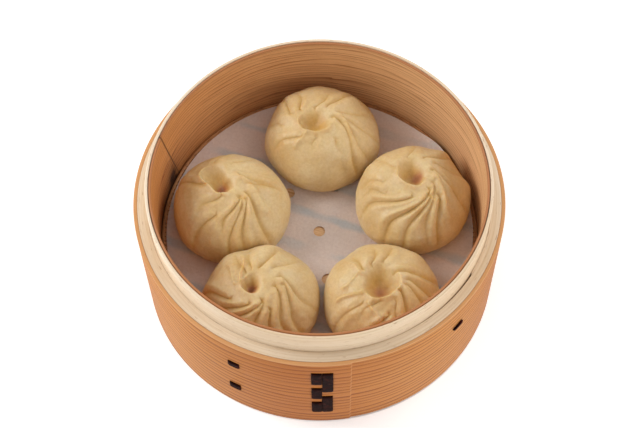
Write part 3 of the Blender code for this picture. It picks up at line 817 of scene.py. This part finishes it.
def pleats(reach, bearing, folds):
    """Depth of the valleys, and the height of the dough that puffs up beside them."""
    valley = np.zeros_like(reach)
    puff = np.zeros_like(reach)
    for start, end, near, far, depth in folds:
        aside, past, held = beside(reach, bearing, start, end, near, far)
        fade = np.exp(-(past / (1.3 + 1.7 * held)) ** 2) * (1 - 0.35 * held ** 2)
        width = np.where(aside > 0, FOLD_SOFT, FOLD_SHARP) * (0.7 + 0.5 * held)
        valley += FOLD_DEPTH * depth * fade * np.exp(-np.abs(aside / width) ** 1.35)
        for side, share in ((-1, 1.0), (1, 0.55)):
            puff += PUFF * share * depth * fade * np.exp(-((aside - side * 2.6) / 1.5) ** 2)
    valley = MOST_VALLEY * np.tanh(valley / MOST_VALLEY)
    return valley, puff


def ridges(reach, bearing, lines):
    """Round raised lines: (bearing in, bearing out, distance in, distance out, height, half width)."""
    raised = np.zeros_like(reach)
    for start, end, near, far, height, width in lines:
        aside, past, _ = beside(reach, bearing, start, end, near, far)
        raised += height * np.exp(-(aside / width) ** 2 - (past / 1.6) ** 2)
    return raised


def lumps(reach, bearing, spots):
    """Swellings and hollows: (bearing, distance, size, height)."""
    raised = np.zeros_like(reach)
    for at, far, size, height in spots:
        x = reach * np.cos(bearing) - far * cos(radians(at))
        y = reach * np.sin(bearing) - far * sin(radians(at))
        raised += height * np.exp(-(x * x + y * y) / size ** 2)
    return raised


def mouth(reach, bearing, bun):
    """Height that the lip adds and the hollow takes away, and how far inside the mouth a point is.
    The lip is sharp on the keen side, and the dough runs in as a smooth funnel on the other."""
    side, extra = bun["wide"]
    radius = bun["mouth"] + extra * np.exp(-(angle_between(bearing, radians(side)) / 0.65) ** 2)
    waver = 0.05 * np.sin(3 * bearing + bun["seed"]) + 0.015 * np.sin(7 * bearing + 2 * bun["seed"])
    radius = radius * (1 + waver)
    keen_at, lip_height = bun["keen"]
    keen = np.exp(-(angle_between(bearing, radians(keen_at)) / 1.5) ** 4)
    from_lip = reach - radius
    lip = lip_height * keen * np.exp(-(from_lip / np.where(from_lip > 0, 1.6, 0.7)) ** 2)
    inside = np.clip(1 - reach / radius, 0.0, 1.0)
    wall = 1 - (1 - inside) ** 3
    funnel = np.exp(-(reach / (0.72 * radius)) ** 2)
    return lip - bun["depth"] * (keen * wall + (1 - keen) * funnel), inside


def uneven(points, seed, spacing):
    """Smooth random unevenness, mostly between -1 and 1: a sum of seeded waves, in every direction."""
    chance = np.random.default_rng(seed)
    total = np.zeros(points.shape[:-1])
    for _ in range(WAVES):
        way = chance.normal(size=3)
        way *= 2 * pi / (spacing * chance.uniform(0.7, 1.6) * np.linalg.norm(way))
        total += np.sin(points @ way + chance.uniform(0, 2 * pi))
    return total / WAVES_SCALE


# %% [markdown]
# Each dumpling's own facts, in millimetres and degrees: where it sits, its radius, the mouth's shift, size,
# depth, wide side and keen-edged side, then its pleats, ridges and lumps, and the spot of filling that
# shows at the bottom of the mouth with its strength.

# %% The five dumplings
DUMPLINGS = {
    "dumpling_far": dict(
        at=(1.6, 38.8), radius=24.6, mouth_at=(-3.0, -1.9), mouth=6.2, depth=5.4, wide=(175, 1.5),
        keen=(-115, 0.9),
        seed=3, spot=(40, 2.0, 3.0, 0.12),
        folds=[(15, -53, 7.7, 23.8, 1.4), (-5, -35, 12.0, 22.0, 0.8), (8, -11, 11.5, 22.5, 0.9),
               (26, 16, 10.5, 18.0, 0.8), (58, 50, 9.5, 18.0, 1.5), (92, 72, 7.2, 12.0, 1.5),
               (138, 120, 9.5, 14.5, 1.5), (158, 137, 12.4, 22.0, 1.0), (-130, -154, 10.0, 19.0, 1.0),
               (-92, -101, 8.8, 12.0, 0.7), (-50, -58, 11.5, 14.5, 0.8), (180, 172, 16.0, 21.0, 0.7)],
        ridges=[(-124, -130, 7.5, 14.5, 0.9, 1.1), (20, -45, 9.5, 20.0, 0.8, 1.8),
                (168, 165, 11.0, 19.0, 0.7, 2.0)],
        lumps=[(-35, 4.6, 2.2, 1.6), (-64, 24.0, 5.0, -1.0), (128, 16.0, 5.0, 1.1), (95, 18.5, 5.0, 0.9),
               (50, 18.5, 4.5, 0.7),
               (-75, 15.0, 6.0, 0.6),
               (-155, 17.0, 3.0, 0.6), (165, 20.5, 4.0, -1.5), (140, 19.5, 3.0, 0.8)]),
    "dumpling_left": dict(
        at=(-36.5, 4.6), radius=24.5, mouth_at=(-3.1, 2.1), mouth=4.7, depth=6.0, wide=(134, 9.0),
        keen=(-140, 1.2),
        seed=8, spot=(-120, 0.6, 2.6, 0.8),
        folds=[(-44, -95, 9.1, 15.7, 1.5), (-39, -90, 9.5, 22.5, 1.5), (-37, -75, 11.0, 22.0, 1.5),
               (-22, -48, 10.2, 22.0, 1.5), (31, 8, 8.3, 17.0, 0.8), (3, 8, 10.5, 17.0, 0.9),
               (-96, -139, 6.0, 13.0, 1.0), (-105, -129, 13.0, 23.0, 1.2), (178, 160, 7.5, 22.0, 1.1),
               (75, 60, 12.0, 18.0, 0.6), (110, 95, 14.5, 20.0, 0.6)],
        ridges=[(32, -28, 7.5, 18.0, 1.3, 2.0), (-66, -108, 9.5, 21.0, 0.5, 1.6),
                (-30, -66, 11.0, 22.0, 0.5, 1.3)],
        lumps=[(20, 3.5, 4.0, 1.2), (-117, 16.0, 5.0, 0.8), (95, 11.5, 4.0, 0.7), (-140, 18.0, 5.0, 0.8),
               (15, 18.0, 5.0, 0.5)]),
    "dumpling_right": dict(
        at=(38.9, 7.3), radius=23.9, mouth_at=(-0.7, 3.5), mouth=5.8, depth=6.2, wide=(105, 4.5),
        keen=(-122, 1.1),
        seed=5, spot=(-10, 2.3, 2.8, 0.75),
        folds=[(-95, -158, 10.0, 21.0, 1.4), (-150, -174, 13.5, 19.0, 0.7), (-172, -189, 12.5, 20.0, 0.7),
               (-46, -122, 9.5, 21.0, 1.6), (-55, -102, 11.5, 22.0, 1.5), (-24, -78, 9.2, 20.0, 1.1),
               (-40, -66, 13.5, 23.3, 1.8), (16, -20, 9.0, 21.0, 1.1), (35, 15, 12.0, 21.0, 0.7),
               (60, 42, 11.0, 18.5, 1.3), (100, 85, 10.0, 16.0, 0.7), (150, 140, 9.0, 19.0, 0.6)],
        ridges=[(-5, -46, 9.5, 19.5, 1.2, 1.5), (25, -14, 8.5, 15.0, 0.9, 1.3),
                (-70, -130, 11.0, 20.0, 0.5, 1.4)],
        lumps=[(53, 21.8, 4.0, 1.6), (171, 14.0, 5.0, 0.9), (7, 22.0, 4.0, 1.2), (-140, 17.0, 6.0, 0.5),
               (90, 19.0, 4.0, 0.5), (176, 20.5, 3.5, -1.2), (150, 19.5, 2.6, 0.9)]),
    "dumpling_near_left": dict(
        at=(-23.4, -37.8), radius=23.3, mouth_at=(-3.9, -1.8), mouth=3.9, depth=4.6, wide=(80, 1.5),
        keen=(-165, 0.5),
        seed=11, spot=(-60, 0.8, 2.0, 1.05),
        folds=[(-5, -60, 9.0, 19.0, 1.5), (0, -47, 11.5, 21.0, 1.3), (20, -18, 11.0, 19.5, 1.2),
               (-62, -128, 8.0, 18.5, 1.5), (-100, -149, 8.5, 18.5, 1.4), (-62, -95, 9.0, 17.5, 1.6),
               (-60, -76, 12.5, 19.0, 1.5), (-150, -180, 11.0, 22.0, 1.3), (93, 102, 7.5, 13.5, 1.3),
               (114, 122, 6.5, 14.5, 1.2), (71, 66, 8.5, 16.0, 1.7), (45, 39, 11.5, 17.0, 1.0)],
        ridges=[(165, 112, 4.2, 10.5, 1.5, 0.9), (175, 140, 7.0, 13.5, 0.6, 0.8),
                (10, -33, 10.5, 20.0, 0.6, 1.6)],
        lumps=[(176, 20.0, 4.5, 1.4), (76, 18.6, 4.0, 1.1), (130, 18.5, 4.0, 1.0), (22, 17.0, 5.0, 0.6),
               (104, 18.8, 2.8, -1.7), (135, 12.5, 2.0, 0.5)]),
    "dumpling_near_right": dict(
        at=(24.6, -37.7), radius=23.7, mouth_at=(-1.2, -1.1), mouth=7.4, depth=7.4, wide=(80, 3.0),
        keen=(-60, 1.1),
        seed=14, spot=(-85, 2.2, 3.6, 0.6),
        folds=[(37, 8, 8.0, 22.0, 1.6), (5, -13, 11.0, 21.0, 1.2), (-8, -28, 10.5, 20.0, 1.2),
               (-30, -55, 9.0, 18.0, 1.9), (-58, -73, 10.5, 17.0, 0.9), (-80, -103, 14.0, 20.0, 1.4),
               (137, 131, 9.8, 14.0, 1.5), (112, 98, 9.3, 13.5, 1.5), (82, 74, 10.3, 16.0, 1.2),
               (-95, -122, 8.8, 14.0, 0.8), (-130, -144, 12.0, 23.5, 0.8), (-150, -165, 9.0, 17.0, 0.7)],
        ridges=[(-150, -162, 9.0, 17.5, 1.0, 0.9), (153, 185, 9.5, 14.0, 0.8, 0.8),
                (-118, -96, 10.5, 16.0, 0.8, 1.1),
                (150, 141, 9.0, 15.0, 0.6, 0.8)],
        lumps=[(45, 19.0, 4.0, 0.7), (-113, 12.5, 2.6, 0.8), (-103, 16.0, 2.6, 0.7), (-142, 17.5, 3.0, 0.6),
               (168, 17.0, 5.0, 0.5), (128, 21.0, 4.0, -0.9), (95, 22.0, 4.0, -0.4)]),
}

# %% [markdown]
# The rows are laid out, pushed in and out along the skin, and moved to their place.  Neighbours and the
# wall then flatten the sides, softly, so that no hard edge is left where they touch.

# %% Building one dumpling
COLUMNS = 320
SIDE_ROWS = 190
FOOT_ROWS = 4


def soft_limit(value, limit):
    """The value itself well below the limit, and just under the limit far beyond it."""
    return limit - CONTACT_SOFTNESS * np.logaddexp(0.0, (limit - value) / CONTACT_SOFTNESS)


def flatten_against(x, y, bun, others):
    """Dough gives way to its neighbours and to the basket's wall."""
    for other in others:
        away = np.subtract(other["at"], bun["at"])
        gap = np.linalg.norm(away)
        way = away / gap
        along = (x - bun["at"][0]) * way[0] + (y - bun["at"][1]) * way[1]
        share = bun["radius"] / (bun["radius"] + other["radius"])
        pushed = soft_limit(along, gap * share - 0.15) - along
        x, y = x + way[0] * pushed, y + way[1] * pushed
    out = np.hypot(x, y)
    kept = soft_limit(out, WALL_REACH) / out
    return x * kept, y * kept


def dough_surface(bun, others):
    """Points of a dumpling, row by row, with its two values for the colour: painted crease shade and filling.
    """
    t = np.concatenate([np.linspace(0, 1, SIDE_ROWS + 1)[1:], np.ones(FOOT_ROWS)])
    shrink = np.concatenate([np.ones(SIDE_ROWS), np.linspace(1, FOOT_CENTRE, FOOT_ROWS + 1)[1:]])
    t, bearing = np.meshgrid(t, np.arange(COLUMNS) * 2 * pi / COLUMNS, indexing="ij")
    radius = bun["radius"]
    reach, height = meridian(t, radius)
    above = np.clip((height - DOUGH_WAIST) / 3.0, 0.0, 1.0)
    valley, puff = pleats(reach, bearing, bun["folds"])
    relief_out = (puff - valley + ridges(reach, bearing, bun["ridges"])) * above
    relief_out += lumps(reach, bearing, bun["lumps"])
    lip, inside = mouth(reach, bearing, bun)
    skin = np.stack([reach * np.cos(bearing), reach * np.sin(bearing), height], axis=-1)
    relief_out += 0.35 * uneven(skin, bun["seed"], 17.0) + 0.10 * uneven(skin, bun["seed"] + 1, 5.0)
    relief_out += 0.035 * uneven(skin, bun["seed"] + 2, 1.7)
    lean_out = reach / radius ** 2
    lean_up = np.maximum(height - DOUGH_WAIST, 0.0) / (DOUGH_TOP - DOUGH_WAIST) ** 2
    length = np.hypot(lean_out, lean_up)
    held = np.clip((height - DOUGH_BASE) / 4.0, 0.0, 1.0)
    moved = np.maximum(reach + lean_out / length * relief_out * held, 0.05)
    height = height + (lean_up / length * relief_out + lip * above) * held
    shift = np.where(skin[..., 2] > DOUGH_WAIST, 1 - np.minimum(reach / radius, 1.0) ** 1.5, 0.0)
    x = bun["at"][0] + bun["mouth_at"][0] * shift + moved * np.cos(bearing)
    y = bun["at"][1] + bun["mouth_at"][1] * shift + moved * np.sin(bearing)
    x = bun["at"][0] + (x - bun["at"][0]) * shrink[:, None]
    y = bun["at"][1] + (y - bun["at"][1]) * shrink[:, None]
    x, y = flatten_against(x, y, bun, others)
    at, far, size, strength = bun["spot"]
    near_spot = (reach * np.cos(bearing) - far * cos(radians(at))) ** 2
    near_spot = near_spot + (reach * np.sin(bearing) - far * sin(radians(at))) ** 2
    filling = strength * np.exp(-near_spot / size ** 2) * np.clip(inside * 3, 0, 1)
    # Painted shade: the creases and the inside of the mouth, kept as the valley attribute.
    crease_shade = np.clip(valley / 1.5, 0, 1) * above + 0.55 * np.clip(inside * 1.6, 0, 1) * above
    return np.stack([x, y, np.maximum(height, DOUGH_BASE)], axis=-1) * MM, crease_shade, filling


def dough_mesh(name, bun, others):
    points, valley, filling = dough_surface(bun, others)
    rows, columns = valley.shape
    mouth_middle = points[0].mean(axis=0)
    foot_middle = points[-1].mean(axis=0)
    vertices = np.concatenate([points.reshape(-1, 3), [mouth_middle, foot_middle]])
    here = np.arange(rows * columns).reshape(rows, columns)
    after = np.roll(here, -1, axis=1)
    sides = np.stack([here[:-1], here[1:], after[1:], after[:-1]], axis=-1).reshape(-1, 4)
    top, foot = rows * columns, rows * columns + 1
    fans = [(top, int(a), int(b)) for a, b in zip(here[0], after[0])]
    fans += [(foot, int(b), int(a)) for a, b in zip(here[-1], after[-1])]
    mesh = bpy.data.meshes.new(name)
    mesh.from_pydata(vertices.tolist(), [], sides.tolist() + fans)
    for label, values in (("valley", valley), ("filling", filling)):
        ends = [values[0].mean(), values[-1].mean()]
        layer = mesh.attributes.new(label, "FLOAT", "POINT")
        layer.data.foreach_set("value", np.concatenate([values.ravel(), ends]).astype(np.float32))
    mesh.shade_smooth()
    return mesh


# %% [markdown]
# Steamed wheat dough is wet starch: cream, satin where it is damp, and light goes a few millimetres into
# it, so that the thin lips glow and the shadows stay warm.  It is thickest down in a pleat; there and inside
# the mouth the colour is painted darker and yellower, painted shade for the creases and the hollow.  At the
# bottom of the mouth the brown filling shows through.  Subsurface scattering gives the glow, and two
# attributes painted with the mesh say where the painted crease shade and the filling are.

# %% Steamed dough
def steamed_dough():
    material, tree, shader = new_material("steamed_wheat_dough")
    place = add(tree, "place")
    valley = add(tree, "ShaderNodeAttribute", out=2, attribute_name="valley")
    filling = add(tree, "ShaderNodeAttribute", out=2, attribute_name="filling")
    broad = add(tree, "noise", {"Vector": place, "Scale": 75.0, "Detail": 3.0, "Roughness": 0.55})
    colour = add(tree, "ramp", broad, stops=[(0.35, "#D8B882"), (0.52, "#DDC18F"), (0.70, "#E1C99B")])
    # Painted shade: the valley attribute makes the creases and the mouth's hollow darker and yellower.
    colour = add(tree, "mix", add(tree, "MULTIPLY", valley, 1.25, use_clamp=True), colour, "#CB9B3E")
    brown = add(tree, "ramp", filling, stops=[(0.0, "#CB9658"), (0.5, "#BC7E52"), (1.0, "#96603F")])
    colour = add(tree, "mix", add(tree, "MULTIPLY", filling, 1.6, use_clamp=True), colour, brown)
    specks = add(tree, "noise", {"Vector": place, "Scale": 800.0, "Detail": 3.0, "Roughness": 0.7})
    colour = add(tree, "tint", 0.35, colour,
                 add(tree, "ramp", specks, stops=[(0.35, "#E3D6C6"), (0.62, "#FFFFFF")]))
    damp = add(tree, "noise", {"Vector": place, "Scale": 160.0, "Detail": 2.0})
    rough = add(tree, "ADD", 0.30, add(tree, "MULTIPLY", damp, 0.30))
    feed(tree, shader, {
        "Base Color": colour, "Roughness": rough, "IOR": 1.42, "Subsurface Weight": 0.6,
        "Subsurface Radius": (1.0, 0.75, 0.4), "Subsurface Scale": 2.0 * MM,
        "Normal": add(tree, "relief", specks, 0.12 * MM)})
    return material


dough = steamed_dough()
for node, bun in DUMPLINGS.items():
    others = [other for other in DUMPLINGS.values() if other is not bun]
    piece = bpy.data.objects.new("dough_" + node, dough_mesh("dough_" + node, bun, others))
    piece.data.materials.append(dough)
    bpy.context.scene.collection.objects.link(piece)
    settle(piece, "dough", node)
